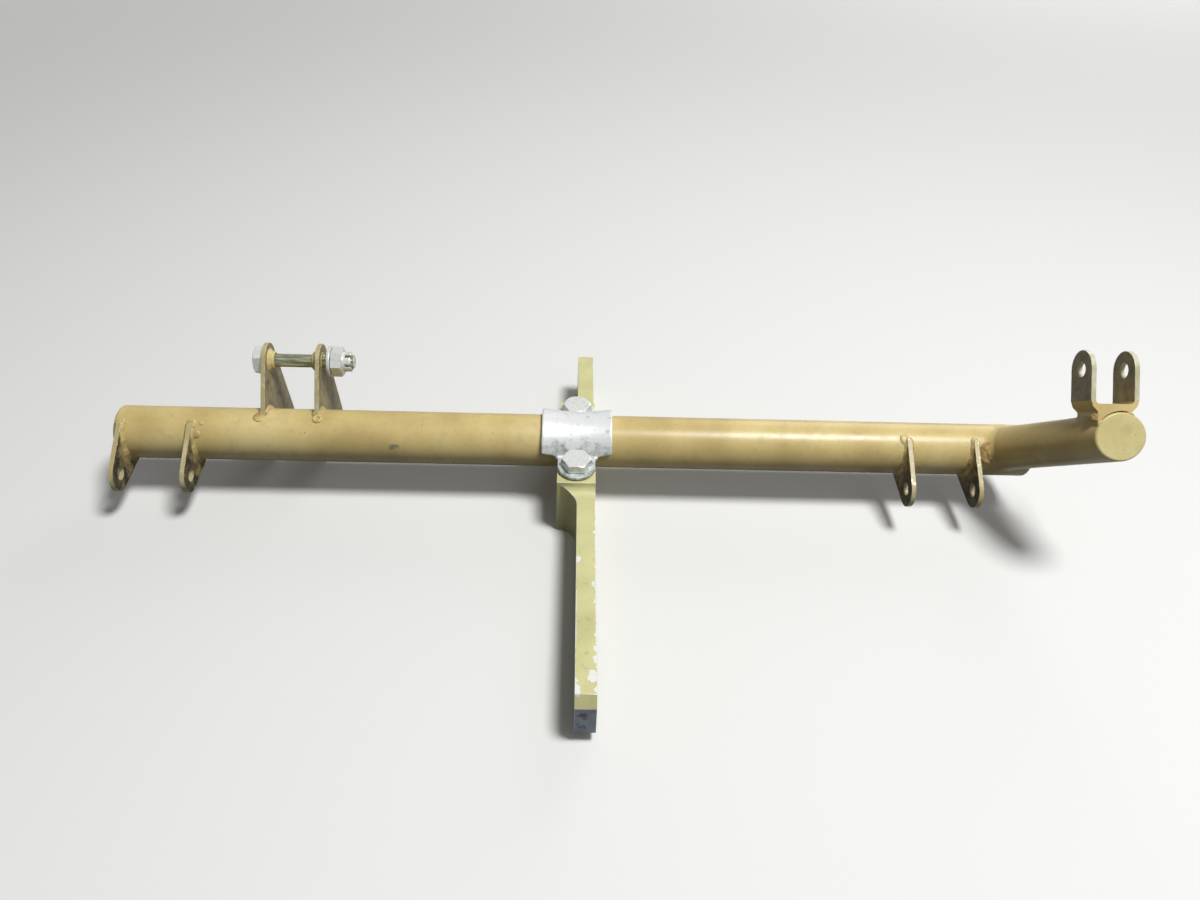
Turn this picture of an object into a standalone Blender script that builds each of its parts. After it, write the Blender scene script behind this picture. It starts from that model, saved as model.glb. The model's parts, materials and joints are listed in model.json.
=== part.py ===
"""Aileron control jackshaft: a welded steel shaft that turns in a two-bolt bearing on a support arm.

Lengths are in metres. X runs along the shaft to the side arm's end, Z is up, and -Y points to the
long end of the support arm. The origin is on the arm's flat foot, under the hinge line, at the middle of
the bearing. Positions along the shaft are counted from its left end face, which both axes start from.
"""

from math import acos, asin, atan2, cos, degrees, pi, radians, sin, tan

import bmesh
import bpy
from mathutils import Matrix, Vector

SEAT_GAP = 0.0003          # between a piece and what it is welded to, bolted to or rests on
RUNNING_GAP = 0.0002       # round a bolt or bush bore
OVERSHOOT = 0.004          # how far a cutter runs past the wall that it cuts

# Main tube, 3/4 inch by 0.049 inch
TUBE_RADIUS = 0.009525
TUBE_WALL = 0.00125
SHAFT_LENGTH = 0.332
END_DISC = 0.0016
END_DISC_ROUND = 0.0009
SHAFT_REST_ANGLE = -39.5   # degrees about X, how the shaft lies in its bearing in the photograph

# Sheet fittings; plan angles are in degrees from the shaft's front, positive towards its top
SHEET = 0.0016
PIN_RADIUS = 0.00238
PIN_HOLE_RADIUS = 0.00245
EAR_RADIUS = 0.00635
LUG_ANGLE = -58.0
LUG_REACH = 0.0177         # shaft axis to pin hole
LUG_FOOT_RISE = 0.0011     # how far the foot stands off the tube at its tangent points
LUG_FOOT_SPAN = 76.0       # half angle of tube that the foot covers
LUG_PAIR_GAP = 0.0229      # clear width between the two lugs of a pair
LEFT_LUGS_X = 0.0149       # middle of the pair
RIGHT_LUGS_SETBACK = 0.03445   # right end face to the middle of the pair
RIGHT_LUGS_X = SHAFT_LENGTH - RIGHT_LUGS_SETBACK

# Two-armed crank plates
CRANK_MIDDLE_X = 0.06135
CRANK_GAP = 0.0175
CRANK_TOP_ANGLE = 87.0
CRANK_TOP_REACH = 0.02705
CRANK_REAR_ANGLE = 166.0
CRANK_REAR_REACH = 0.0269

# Bushes, bolt, washer and slotted nut in the crank plates
BUSH_RADIUS = 0.0034
BUSH_PROUD = 0.0021
BUSH_CHAMFER = 0.0005
HEX_ACROSS_FLATS = 0.009525
BOLT_HEAD = 0.0032
BOLT_POINT = 0.0008
WASHER_RADIUS = 0.00555
WASHER_THICK = 0.0012
WASHER_PLAY = 0.0021       # thread left bare between the right plate and the washer
NUT_HEX_HEIGHT = 0.0039
NUT_CROWN_HEIGHT = 0.0030
NUT_CROWN_RADIUS = 0.0036
NUT_SLOT_WIDTH = 0.0014
NUT_SLOT_DEPTH = 0.0022

# Side arm tube, 5/8 inch by 0.049 inch, and its bent clevis
ARM_RADIUS = 0.00794
ARM_WALL = 0.00125
ARM_ROOT_SETBACK = 0.0119   # right end face to where the arm's axis meets the shaft's
ARM_ROOT_X = SHAFT_LENGTH - ARM_ROOT_SETBACK
ARM_SPLAY = 18.7           # degrees outboard of square to the shaft
ARM_RISE = 4.6             # degrees above the shaft's front
ARM_REACH = 0.0537         # shaft axis to the face of the end disc, along the shaft's front
CLEVIS_GAP = 0.0125
CLEVIS_HOLE_SETBACK = 0.0065   # end disc face to pin hole
CLEVIS_HOLE_HEIGHT = 0.0263
CLEVIS_FLOOR = 0.0150      # top of the web
CLEVIS_BEND = 0.0012       # inner bend radius
CLEVIS_NECK = 0.0112       # width of the web's foot on the arm tube
CLEVIS_NECK_HEIGHT = 0.0125

# Bearing: cap and support arm. "Reach" is along -Y from the shaft axis, "drop" is down from it.
BEARING_X = 0.16465
BOSS_WIDTH = 0.0136
ARM_THICK = 0.0065
BOSS_REACH = 0.0235
BOLT_REACH = 0.016
ARM_TOP_DROP = 0.0035
ARM_BOTTOM_DROP = 0.0226
TIP_BOTTOM_DROP = 0.0194   # the long end's underside rises to this
TIP_REACH = 0.1125
TIP_CHAMFER_RUN = 0.0025
TIP_CHAMFER_DROP = 0.0037
TAIL_REACH = 0.0612
CORNER_ROUND = 0.0012
FLANGE_HOLE_RADIUS = 0.0026
FLANGE_HOLE_INSET = 0.0085
TAPPED_DEPTH = 0.0160

CAP_LENGTH = 0.0254
CAP_EAR_THICK = 0.0014
CAP_WALL_MIDDLE = 0.0011
CAP_WALL_END = 0.0020
CAP_SKIRT_RAISE = 0.0011   # how far the cap's skirt stops above the parting face, beside the ears
CAP_END_RAISE = 0.0027     # and at the cap's two ends
CAP_LAND_RADIUS = 0.0068   # rounded end of each ear

RING = 48                  # sides of a full-size tube
SMALL_RING = 24


def material(name, hex_colour, roughness, metallic):
    made = bpy.data.materials.new(name)
    made.use_nodes = True
    channels = [int(hex_colour[i:i + 2], 16) / 255 for i in (0, 2, 4)]
    linear = [c / 12.92 if c <= 0.04045 else ((c + 0.055) / 1.055) ** 2.4 for c in channels]
    shader = made.node_tree.nodes["Principled BSDF"]
    shader.inputs["Base Color"].default_value = (*linear, 1.0)
    shader.inputs["Roughness"].default_value = roughness
    shader.inputs["Metallic"].default_value = metallic
    return made


def empty(name, parent=None, location=(0, 0, 0), turn=0.0):
    """An axis that pieces are parented to, turned about X by a number of degrees."""
    made = bpy.data.objects.new(name, None)
    made.parent = parent
    made.location = location
    made.rotation_euler = (radians(turn), 0, 0)
    made.empty_display_size = 0.02
    parts.objects.link(made)
    return made


def file_object(obj, folder):
    for other in obj.users_collection:
        other.objects.unlink(obj)
    folder.objects.link(obj)


def finish_part(obj, name, parent, finish):
    """Names a piece as its node, parents it to its axis and gives it its material."""
    obj.name = name
    obj.parent = parent
    file_object(obj, parts)
    obj.data.materials.clear()
    obj.data.materials.append(finish)
    if obj.type == "MESH":
        obj.data.shade_smooth()
        obj.data.set_sharp_from_angle(angle=radians(35))
    return obj


def as_cutter(obj, name, parent):
    obj.name = name
    obj.parent = parent
    file_object(obj, cutters)
    obj.hide_render = True
    obj.display_type = "WIRE"
    return obj


def boolean(obj, tool, operation="DIFFERENCE"):
    step = obj.modifiers.new(f"{operation.lower()} {tool.name}", "BOOLEAN")
    step.operation = operation
    step.solver = "EXACT"
    step.object = tool


def arc(centre, radius, start, end, steps):
    """Points on an arc, its angles in degrees, counter-clockwise where end is larger than start."""
    turns = [radians(start + (end - start) * i / steps) for i in range(steps + 1)]
    return [(centre[0] + radius * cos(t), centre[1] + radius * sin(t)) for t in turns]


def polar(angle, reach):
    return (reach * cos(radians(angle)), reach * sin(radians(angle)))


def circle(centre, radius, steps=SMALL_RING):
    return arc(centre, radius, 0, 360 - 360 / steps, steps - 1)


# How the XY plane of an outline is laid: as seen from the shaft's end (front, top), or from its front
SIDE_VIEW = (pi / 2, 0, -pi / 2)
FRONT_VIEW = (pi / 2, 0, 0)
PLAN_VIEW = (0, 0, 0)
ALONG_X = (0, pi / 2, 0)


def outline_plate(loops, thickness, location, view):
    """A flat plate: the first loop is its outline and the others are holes, as a filled 2D curve."""
    curve = bpy.data.curves.new("plate", "CURVE")
    curve.dimensions = "2D"
    curve.fill_mode = "BOTH"
    curve.extrude = thickness / 2
    for loop in loops:
        spline = curve.splines.new("POLY")
        spline.points.add(len(loop) - 1)
        for point, (x, y) in zip(spline.points, loop):
            point.co = (x, y, 0, 1)
        spline.use_cyclic_u = True
    made = bpy.data.objects.new("plate", curve)
    made.location = location
    made.rotation_euler = view
    parts.objects.link(made)
    return made


def to_mesh(obj):
    """The same shape as a closed mesh, so that it can be cut or can cut."""
    bpy.context.view_layer.update()
    seen = obj.evaluated_get(bpy.context.evaluated_depsgraph_get())
    mesh = bpy.data.meshes.new_from_object(seen)
    work = bmesh.new()
    work.from_mesh(mesh)
    bmesh.ops.remove_doubles(work, verts=work.verts, dist=1e-6)
    work.to_mesh(mesh)
    work.free()
    made = bpy.data.objects.new(obj.name, mesh)
    made.location = obj.location
    made.rotation_euler = obj.rotation_euler
    parts.objects.link(made)
    bpy.data.objects.remove(obj)
    return made


def rod(radius, length, location, rotation=ALONG_X, sides=SMALL_RING):
    bpy.ops.mesh.primitive_cylinder_add(
        vertices=sides, radius=radius, depth=length, location=location, rotation=rotation
    )
    return bpy.context.object


def box(size, location, rotation=(0, 0, 0)):
    bpy.ops.mesh.primitive_cube_add(size=1, location=location, rotation=rotation)
    made = bpy.context.object
    made.data.transform(Matrix.Diagonal((*size, 1)))
    return made


def turned(profile, location, rotation=ALONG_X, sides=SMALL_RING):
    """A ring turned from a closed profile of (radius, height), listed down its outer side."""
    mesh = bpy.data.meshes.new("turned")
    work = bmesh.new()
    corners = [work.verts.new((r, 0, z)) for r, z in profile]
    for here, after in zip(corners, corners[1:] + corners[:1]):
        work.edges.new((here, after))
    work.to_mesh(mesh)
    work.free()
    made = bpy.data.objects.new("turned", mesh)
    made.location = location
    made.rotation_euler = rotation
    parts.objects.link(made)
    spin = made.modifiers.new("turn", "SCREW")
    spin.steps = spin.render_steps = sides
    spin.use_merge_vertices = True
    spin.merge_threshold = 0.00001
    spin.use_smooth_shade = True
    return made


def tube_profile(outer, inner, length):
    half = length / 2
    return [(outer, half), (outer, -half), (inner, -half), (inner, half)]


def hexagon(across_flats, point_up=False):
    turn = 30 if point_up else 0
    return arc((0, 0), across_flats / 2 / cos(radians(30)), turn, turn + 300, 5)


def shaft_tube():
    """The main tube and the disc that closes each end."""
    inset = END_DISC + SEAT_GAP
    profile = tube_profile(TUBE_RADIUS, TUBE_RADIUS - TUBE_WALL, SHAFT_LENGTH - 2 * inset)
    tube = turned(profile, (SHAFT_LENGTH / 2, 0, 0), sides=RING)
    finish_part(tube, "main_tube", shaft, shaft_paint)
    for name, middle, outward in (
        ("left_end_disc", END_DISC / 2, -1),
        ("right_end_disc", SHAFT_LENGTH - END_DISC / 2, 1),
    ):
        disc = rod(TUBE_RADIUS, END_DISC, (middle, 0, 0), sides=RING)
        work = bmesh.new()
        work.from_mesh(disc.data)
        rim = [e for e in work.edges if all(v.co.z * outward > 0 for v in e.verts)]
        bmesh.ops.bevel(
            work, geom=rim, offset=END_DISC_ROUND, affect="EDGES", segments=3, profile=0.5, material=-1
        )
        work.to_mesh(disc.data)
        work.free()
        finish_part(disc, name, shaft, shaft_paint)


def lug_outline():
    """A pin lug with a half-round seat: two flanks tangent to the ear and to a ring round the tube."""
    ear = polar(LUG_ANGLE, LUG_REACH)
    ring = TUBE_RADIUS + LUG_FOOT_RISE
    flank = degrees(acos((ring - EAR_RADIUS) / LUG_REACH))
    span = min(LUG_FOOT_SPAN, flank)
    nose = arc(ear, EAR_RADIUS, LUG_ANGLE - flank, LUG_ANGLE + flank, 16)
    shoulder = arc((0, 0), ring, LUG_ANGLE + flank, LUG_ANGLE + span, 2)
    seat = arc((0, 0), TUBE_RADIUS + SEAT_GAP, LUG_ANGLE + span, LUG_ANGLE - span, 20)
    other = arc((0, 0), ring, LUG_ANGLE - span, LUG_ANGLE - flank, 2)
    return [nose + shoulder[1:] + seat + other[:-1], circle(ear, PIN_HOLE_RADIUS)]


def lug_pairs():
    step = (LUG_PAIR_GAP + SHEET) / 2
    for name, x in (
        ("left_outer_lug", LEFT_LUGS_X - step),
        ("left_inner_lug", LEFT_LUGS_X + step),
        ("right_inner_lug", RIGHT_LUGS_X - step),
        ("right_outer_lug", RIGHT_LUGS_X + step),
    ):
        finish_part(outline_plate(lug_outline(), SHEET, (x, 0, 0), SIDE_VIEW), name, shaft, shaft_paint)


def crank_outline():
    """A two-armed plate round the back of the tube, its arms joined by one straight outer edge."""
    top = polar(CRANK_TOP_ANGLE, CRANK_TOP_REACH)
    rear = polar(CRANK_REAR_ANGLE, CRANK_REAR_REACH)
    seat_radius = TUBE_RADIUS + SEAT_GAP
    flank = degrees(asin(EAR_RADIUS / seat_radius))
    outer = degrees(atan2(rear[1] - top[1], rear[0] - top[0])) - 90
    if outer < 0:
        outer += 360
    nose = arc(top, EAR_RADIUS, CRANK_TOP_ANGLE - 90, outer, 12)
    tail = arc(rear, EAR_RADIUS, outer, CRANK_REAR_ANGLE + 90, 12)
    seat = arc((0, 0), seat_radius, CRANK_REAR_ANGLE + flank, CRANK_TOP_ANGLE - flank, 24)
    return [nose + tail + seat, circle(top, BUSH_RADIUS + SEAT_GAP), circle(rear, PIN_HOLE_RADIUS)]


def crank_and_bolt():
    """The pair of crank plates, their bushes, and the loose bolt that a rod end goes on."""
    step = (CRANK_GAP + SHEET) / 2
    bore = PIN_RADIUS + RUNNING_GAP
    for side, way in (("left", -1), ("right", 1)):
        x = CRANK_MIDDLE_X + way * step
        plate = outline_plate(crank_outline(), SHEET, (x, 0, 0), SIDE_VIEW)
        finish_part(plate, f"{side}_crank_plate", shaft, shaft_paint)
        length = SHEET + BUSH_PROUD
        half = length / 2
        top = BUSH_RADIUS - BUSH_CHAMFER
        profile = [(top, half), (BUSH_RADIUS, half - BUSH_CHAMFER), (BUSH_RADIUS, -half), (bore, -half)]
        profile.append((bore, half))
        inward = (0, -way * pi / 2, 0)
        bush = turned(profile, (-way * BUSH_PROUD / 2 + x - CRANK_MIDDLE_X, 0, 0), inward)
        bush.location.x += CRANK_MIDDLE_X
        finish_part(bush, f"{side}_crank_bush", shaft, shaft_paint)
        lateral, height = polar(CRANK_TOP_ANGLE, CRANK_TOP_REACH)
        bush.location.y, bush.location.z = -lateral, height

    plate_left = -(step + SHEET / 2)
    plate_right = -plate_left
    head = outline_plate([hexagon(HEX_ACROSS_FLATS)], BOLT_HEAD, (0, 0, 0), SIDE_VIEW)
    head.location.x = plate_left - SEAT_GAP - BOLT_HEAD / 2
    washer_left = plate_right + WASHER_PLAY
    nut_left = washer_left + WASHER_THICK + SEAT_GAP
    crown_right = nut_left + NUT_HEX_HEIGHT + NUT_CROWN_HEIGHT
    tip = crown_right + BOLT_POINT
    shank = rod(PIN_RADIUS, tip - head.location.x, ((tip + head.location.x) / 2, 0, 0))
    shank_cutter = as_cutter(shank, "bolt_shank", bolt)
    bolt_body = to_mesh(head)
    boolean(bolt_body, shank_cutter, "UNION")
    finish_part(bolt_body, "clevis_bolt", bolt, plated_steel)

    washer_profile = tube_profile(WASHER_RADIUS, bore, WASHER_THICK)
    washer = turned(washer_profile, (washer_left + WASHER_THICK / 2, 0, 0))
    finish_part(washer, "clevis_washer", bolt, plated_steel)

    hex_body = outline_plate([hexagon(HEX_ACROSS_FLATS, True)], NUT_HEX_HEIGHT, (0, 0, 0), SIDE_VIEW)
    hex_body.location.x = nut_left + NUT_HEX_HEIGHT / 2
    nut = to_mesh(hex_body)
    crown_length = NUT_HEX_HEIGHT / 2 + NUT_CROWN_HEIGHT
    crown = rod(NUT_CROWN_RADIUS, crown_length, (crown_right - crown_length / 2, 0, 0))
    boolean(nut, as_cutter(crown, "nut_crown", bolt), "UNION")
    nut_bore = rod(bore, crown_right - nut_left + 2 * OVERSHOOT, ((nut_left + crown_right) / 2, 0, 0))
    boolean(nut, as_cutter(nut_bore, "nut_bore", bolt))
    slot_length = 2 * (NUT_CROWN_RADIUS + OVERSHOOT)
    for i in range(3):
        middle = crown_right - NUT_SLOT_DEPTH / 2 + OVERSHOOT / 2
        slot = box(
            (NUT_SLOT_DEPTH + OVERSHOOT, NUT_SLOT_WIDTH, slot_length), (middle, 0, 0), (radians(60 * i), 0, 0)
        )
        boolean(nut, as_cutter(slot, f"nut_slot_{i + 1}", bolt))
    finish_part(nut, "slotted_nut", bolt, plated_steel)


def arm_direction():
    """Unit vector along the side arm in the shaft's own axes, its front being -Y."""
    flat = Vector((sin(radians(ARM_SPLAY)), -cos(radians(ARM_SPLAY)), 0)) * cos(radians(ARM_RISE))
    return flat + Vector((0, 0, sin(radians(ARM_RISE))))


def side_arm():
    """The slanted side tube, notched to the main tube and closed by a disc parallel to the shaft."""
    along = arm_direction()
    turn = along.to_track_quat("Z", "Y").to_euler()
    length = 2 * ARM_REACH
    middle = Vector((ARM_ROOT_X, 0, 0)) + along * length / 2
    face = ARM_REACH - END_DISC
    slab_width = 2 * length

    tube = to_mesh(turned(tube_profile(ARM_RADIUS, ARM_RADIUS - ARM_WALL, length), middle, turn, RING))
    notch = rod(TUBE_RADIUS + SEAT_GAP, slab_width, (ARM_ROOT_X, 0, 0), sides=RING)
    boolean(tube, as_cutter(notch, "arm_notch", shaft))
    trimmed = length
    trim_middle = face - SEAT_GAP + trimmed / 2
    trim = box((slab_width, trimmed, slab_width), (ARM_ROOT_X, -trim_middle, 0))
    boolean(tube, as_cutter(trim, "arm_trim", shaft))
    back = box((slab_width, slab_width, slab_width), (ARM_ROOT_X, slab_width / 2, 0))
    boolean(tube, as_cutter(back, "arm_back_trim", shaft))
    finish_part(tube, "side_arm_tube", shaft, shaft_paint)

    disc = rod(ARM_RADIUS, length, middle, turn, RING)
    slab = box((slab_width, END_DISC, slab_width), (ARM_ROOT_X, -(face + END_DISC / 2), 0))
    boolean(disc, as_cutter(slab, "arm_disc_slab", shaft), "INTERSECT")
    finish_part(disc, "side_arm_disc", shaft, shaft_paint)


def end_clevis():
    """The bent two-eared clevis that sits across the side arm's end, its foot notched to the arm."""
    hole_front = ARM_REACH - CLEVIS_HOLE_SETBACK
    half_gap = CLEVIS_GAP / 2
    outer = half_gap + SHEET
    top = CLEVIS_HOLE_HEIGHT + EAR_RADIUS
    foot = CLEVIS_NECK_HEIGHT - ARM_RADIUS / 2
    middle_x = ARM_ROOT_X + hole_front * tan(radians(ARM_SPLAY))
    shoulder = CLEVIS_FLOOR + CLEVIS_BEND
    right = [
        (CLEVIS_NECK / 2, foot),
        (CLEVIS_NECK / 2, CLEVIS_NECK_HEIGHT),
        (outer - CLEVIS_BEND / 2, CLEVIS_FLOOR - SHEET / 2),
        (outer, shoulder),
        (outer, top),
        (half_gap, top),
    ]
    floor = arc((half_gap - CLEVIS_BEND, shoulder), CLEVIS_BEND, 0, -90, 5)
    half = right + floor
    front_loop = half + [(-x, y) for x, y in reversed(half)]
    blank = to_mesh(outline_plate([front_loop], 4 * EAR_RADIUS, (middle_x, -hole_front, 0), FRONT_VIEW))

    ear = (hole_front, CLEVIS_HOLE_HEIGHT)
    side_loop = arc(ear, EAR_RADIUS, 0, 180, 20)
    side_loop += [(hole_front - EAR_RADIUS, foot - OVERSHOOT), (hole_front + EAR_RADIUS, foot - OVERSHOOT)]
    side = outline_plate([side_loop], 4 * outer, (middle_x, 0, 0), SIDE_VIEW)
    boolean(blank, as_cutter(to_mesh(side), "clevis_side_outline", shaft), "INTERSECT")
    pin = rod(PIN_HOLE_RADIUS, 4 * outer, (middle_x, -hole_front, CLEVIS_HOLE_HEIGHT))
    boolean(blank, as_cutter(pin, "clevis_pin_hole", shaft))
    along = arm_direction()
    seat_middle = Vector((ARM_ROOT_X, 0, 0)) + along * ARM_REACH
    turn = along.to_track_quat("Z", "Y").to_euler()
    seat = rod(ARM_RADIUS + SEAT_GAP, 2 * ARM_REACH, seat_middle, turn, RING)
    boolean(blank, as_cutter(seat, "clevis_seat", shaft))
    finish_part(blank, "end_clevis", shaft, shaft_paint)


def arm_side_loop():
    """The support arm from the shaft's end, as (reach, rise): two arms and a boss with hollow steps."""
    step = ARM_TOP_DROP
    tip_top = (TIP_REACH - TIP_CHAMFER_RUN, -ARM_TOP_DROP)
    loop = arc((BOSS_REACH + step, 0), step, 180, 270, 6)
    loop += [tip_top, (TIP_REACH, -ARM_TOP_DROP - TIP_CHAMFER_DROP)]
    loop += arc((TIP_REACH - CORNER_ROUND, CORNER_ROUND - TIP_BOTTOM_DROP), CORNER_ROUND, 0, -90, 4)
    loop += [(BOSS_REACH, -ARM_BOTTOM_DROP)]
    loop += arc((CORNER_ROUND - TAIL_REACH, CORNER_ROUND - ARM_BOTTOM_DROP), CORNER_ROUND, 270, 180, 4)
    loop += arc((CORNER_ROUND - TAIL_REACH, -CORNER_ROUND - ARM_TOP_DROP), CORNER_ROUND, 180, 90, 4)
    loop += arc((-BOSS_REACH - step, 0), step, 270, 360, 6)
    return loop


def arm_plan_loop():
    """The support arm from above, as (X, Y): flush on its right, the boss widening it on its left."""
    right = BEARING_X + BOSS_WIDTH / 2
    web_left = right - ARM_THICK
    boss_left = right - BOSS_WIDTH
    flare = BOSS_WIDTH - ARM_THICK
    past = OVERSHOOT
    loop = [(right, -TIP_REACH - past), (right, TAIL_REACH + past), (web_left, TAIL_REACH + past)]
    loop += arc((boss_left, BOSS_REACH + flare), flare, 0, -90, 8)
    loop += arc((boss_left, -BOSS_REACH - flare), flare, 90, 0, 8)
    loop += [(web_left, -TIP_REACH - past)]
    return loop


def support_arm():
    depth = 2 * (ARM_BOTTOM_DROP + OVERSHOOT)
    body = to_mesh(outline_plate([arm_plan_loop()], depth, (0, 0, 0), PLAN_VIEW))
    side = outline_plate([arm_side_loop()], 2 * BOSS_WIDTH, (BEARING_X, 0, 0), SIDE_VIEW)
    boolean(body, as_cutter(to_mesh(side), "arm_side_outline", support), "INTERSECT")
    saddle = rod(TUBE_RADIUS + SEAT_GAP, 2 * BOSS_WIDTH, (BEARING_X, 0, 0), sides=RING)
    boolean(body, as_cutter(saddle, "saddle", support))
    for name, way in (("front", -1), ("rear", 1)):
        depth_cut = TAPPED_DEPTH + OVERSHOOT
        hole = rod(
            PIN_RADIUS + RUNNING_GAP,
            depth_cut,
            (BEARING_X, way * BOLT_REACH, OVERSHOOT - depth_cut / 2),
            (0, 0, 0),
        )
        boolean(body, as_cutter(hole, f"{name}_tapped_hole", support))
    middle_drop = (ARM_TOP_DROP + TIP_BOTTOM_DROP) / 2
    for name, y in (
        ("tip", FLANGE_HOLE_INSET - TIP_REACH),
        ("tail", TAIL_REACH - FLANGE_HOLE_INSET),
    ):
        hole = rod(FLANGE_HOLE_RADIUS, 4 * BOSS_WIDTH, (BEARING_X, y, -middle_drop))
        boolean(body, as_cutter(hole, f"{name}_mounting_hole", support))
    finish_part(body, "support_arm", support, arm_paint)


def bearing_cap():
    """The half-round cap: a waisted shell between two ears with round ends."""
    bore = TUBE_RADIUS + SEAT_GAP
    half = CAP_LENGTH / 2
    steps = 10
    flare = CAP_WALL_END - CAP_WALL_MIDDLE
    outer = []
    for i in range(steps + 1):
        share = 1 - 2 * i / steps
        outer.append((bore + CAP_WALL_MIDDLE + flare * share * share, half * share))
    inside = bore / 2
    shell = to_mesh(turned(outer + [(inside, -half), (inside, half)], (BEARING_X, 0, 0), sides=RING))
    tall = 4 * TUBE_RADIUS
    past = half + OVERSHOOT
    right = [(past, -tall), (past, CAP_END_RAISE), (half, CAP_END_RAISE), (CAP_LAND_RADIUS, CAP_SKIRT_RAISE)]
    skirt = right + [(-x, z) for x, z in reversed(right)]
    below = to_mesh(outline_plate([skirt], tall, (BEARING_X, 0, 0), FRONT_VIEW))
    boolean(shell, as_cutter(below, "cap_skirt_trim", support))

    ends = arc((BOLT_REACH, 0), CAP_LAND_RADIUS, -90, 90, 12)
    strap_loop = ends + [(-x, -y) for x, y in ends]
    plan = [(y, x) for x, y in reversed(strap_loop)]
    rise = SEAT_GAP + CAP_EAR_THICK / 2
    strap = outline_plate([plan], CAP_EAR_THICK, (BEARING_X, 0, rise), PLAN_VIEW)
    boolean(shell, as_cutter(to_mesh(strap), "cap_ears", support), "UNION")
    hollow = rod(bore, 2 * CAP_LENGTH, (BEARING_X, 0, 0), sides=RING)
    boolean(shell, as_cutter(hollow, "cap_bore", support))
    for name, way in (("front", -1), ("rear", 1)):
        hole = rod(PIN_RADIUS + RUNNING_GAP, tall, (BEARING_X, way * BOLT_REACH, 0), (0, 0, 0))
        boolean(shell, as_cutter(hole, f"{name}_cap_hole", support))
    finish_part(shell, "bearing_cap", support, cap_paint)


def cap_bolts():
    """The two bolts that hold the cap down, threaded into the boss."""
    under_head = SEAT_GAP + CAP_EAR_THICK + SEAT_GAP
    foot = SEAT_GAP - TAPPED_DEPTH
    for name, way in (("front", -1), ("rear", 1)):
        y = way * BOLT_REACH
        head = outline_plate(
            [hexagon(HEX_ACROSS_FLATS)], BOLT_HEAD, (BEARING_X, y, under_head + BOLT_HEAD / 2), PLAN_VIEW
        )
        top = under_head + BOLT_HEAD / 2
        shank = rod(PIN_RADIUS, top - foot, (BEARING_X, y, (top + foot) / 2), (0, 0, 0))
        body = to_mesh(head)
        boolean(body, as_cutter(shank, f"{name}_cap_bolt_shank", support), "UNION")
        finish_part(body, f"{name}_cap_bolt", support, plated_steel)


for old in list(bpy.data.objects):
    bpy.data.objects.remove(old)
parts = bpy.data.collections.new("aileron_control_jackshaft")
cutters = bpy.data.collections.new("cutters")
bpy.context.scene.collection.children.link(parts)
bpy.context.scene.collection.children.link(cutters)

shaft_paint = material("bronze_shaft_paint", "A98A55", 0.42, 0.0)
arm_paint = material("olive_arm_paint", "B5AC74", 0.5, 0.0)
cap_paint = material("silver_cap", "DDE0E2", 0.35, 0.6)
plated_steel = material("plated_steel", "C9CCC6", 0.3, 1.0)

left_end = (-BEARING_X, 0, ARM_BOTTOM_DROP)
support = empty("support_axis", location=left_end)
shaft = empty("shaft_axis", location=left_end, turn=SHAFT_REST_ANGLE)
bolt_front, bolt_height = polar(CRANK_TOP_ANGLE, CRANK_TOP_REACH)
bolt = empty("clevis_bolt_axis", shaft, (CRANK_MIDDLE_X, -bolt_front, bolt_height))

shaft_tube()
lug_pairs()
crank_and_bolt()
side_arm()
end_clevis()
support_arm()
bearing_cap()
cap_bolts()
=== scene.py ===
import json
from math import cos, pi, radians, sin, tan

import bmesh
import bpy
from mathutils import Matrix, Vector, noise


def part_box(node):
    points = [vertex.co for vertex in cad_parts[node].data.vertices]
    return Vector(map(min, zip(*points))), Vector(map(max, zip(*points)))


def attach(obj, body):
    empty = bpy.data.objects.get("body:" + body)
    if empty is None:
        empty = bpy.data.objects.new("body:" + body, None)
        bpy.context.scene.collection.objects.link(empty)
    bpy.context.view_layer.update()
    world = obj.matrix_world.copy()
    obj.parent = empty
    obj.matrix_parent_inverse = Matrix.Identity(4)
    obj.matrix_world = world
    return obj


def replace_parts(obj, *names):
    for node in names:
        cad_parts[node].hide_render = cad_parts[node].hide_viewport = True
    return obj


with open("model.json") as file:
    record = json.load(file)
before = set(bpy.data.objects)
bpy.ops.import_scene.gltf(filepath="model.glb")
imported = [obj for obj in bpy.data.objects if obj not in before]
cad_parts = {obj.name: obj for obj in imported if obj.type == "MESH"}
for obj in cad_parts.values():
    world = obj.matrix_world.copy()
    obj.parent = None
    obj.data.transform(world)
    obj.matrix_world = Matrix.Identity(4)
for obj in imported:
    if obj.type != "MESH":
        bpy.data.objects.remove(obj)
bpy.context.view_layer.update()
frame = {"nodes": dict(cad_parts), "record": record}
print("frame loaded:", len(frame["nodes"]), "nodes")

mm = 0.001
behaviour = frame["record"]["behaviour"]
bodyOf = {node: body for body, nodes in behaviour["bodies"].items() for node in nodes}
hinge, boltAxis = [Vector(joint["pos_m"]) for joint in behaviour["joints"]]  # the hinge is under the cap
shaftTilt = radians(39.5)  # how far the shaft's own top leans to the rear
toWorld = Matrix.Translation(hinge) @ Matrix.Rotation(-shaftTilt, 4, "X")
scene = bpy.context.scene


# Camera: how the shaft lies in the picture, from its edges and ends
viewpoint = {
    "focalPixels": 971,
    "imageWidth": 1200,
    "sensorWidth": 36,
    "nearest": 10 * mm,
    "shaftYaw": 1.829,        # degrees, the right end is farther away
    "shaftRoll": 1.215,       # degrees, the right end is lower
    "elevation": 39.5,        # degrees above the support arm's top
    "shaftBelowCentre": -3.195 * mm,
    "distance": 358.7 * mm,
    "bearingLeft": 8.6 * mm,  # bearing to the middle of the picture
}


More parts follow.
